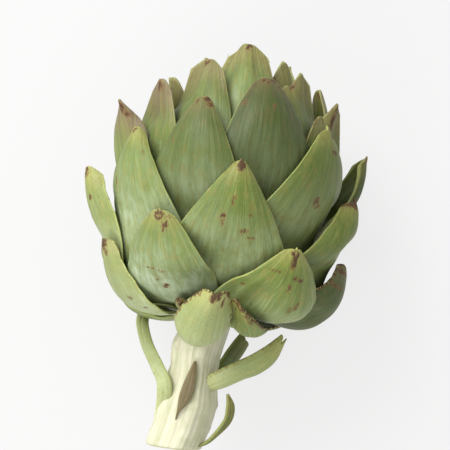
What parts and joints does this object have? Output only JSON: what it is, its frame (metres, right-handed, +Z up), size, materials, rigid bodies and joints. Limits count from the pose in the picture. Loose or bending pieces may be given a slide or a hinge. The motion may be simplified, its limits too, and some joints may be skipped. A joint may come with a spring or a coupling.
{
  "type": "artichoke",
  "caption": "Globe artichoke as cut, lying on its side: a head of overlapping pointed bracts on a short thick stem with small leaves",
  "frame": {"origin": "On the floor, under the middle of the artichoke's box", "axes": "+Z up; +Y along the head from the stem to the crown; the side seen in the picture faces +Z"},
  "size_m": [0.1038, 0.1494, 0.0928],
  "materials": {
    "bract": "matt waxy green leaf skin, paler at the base, with fine lengthwise veins and brown-tipped ends",
    "stem": "matt pale green, ribbed lengthwise",
    "stem_leaf": "matt green leaf skin"
  },
  "bodies": {
    "root": {"bract_01": "bract", "bract_02": "bract", "bract_03": "bract", "bract_04": "bract", "bract_05": "bract", "bract_06": "bract", "bract_07": "bract", "bract_08": "bract", "bract_09": "bract", "bract_10": "bract", "bract_11": "bract", "bract_12": "bract", "bract_13": "bract", "bract_14": "bract", "bract_15": "bract", "bract_16": "bract", "bract_17": "bract", "bract_18": "bract", "bract_19": "bract", "bract_20": "bract", "bract_21": "bract", "bract_22": "bract", "bract_23": "bract", "bract_24": "bract", "bract_25": "bract", "bract_26": "bract", "bract_27": "bract", "bract_28": "bract", "bract_29": "bract", "bract_30": "bract", "bract_31": "bract", "bract_32": "bract", "bract_33": "bract", "bract_34": "bract", "bract_35": "bract", "bract_36": "bract", "bract_37": "bract", "bract_38": "bract", "bract_39": "bract", "bract_40": "bract", "bract_41": "bract", "bract_42": "bract", "bract_43": "bract", "bract_44": "bract", "bract_45": "bract", "bract_46": "bract", "bract_47": "bract", "bract_48": "bract", "bract_49": "bract", "bract_50": "bract", "bract_51": "bract", "bract_52": "bract", "bract_53": "bract", "stem_and_heart": "stem", "stem_leaf_behind": "stem_leaf", "stem_leaf_front": "stem_leaf", "stem_leaf_left": "stem_leaf", "stem_leaf_low": "stem_leaf", "stem_leaf_right": "stem_leaf"}
  },
  "joints": []
}
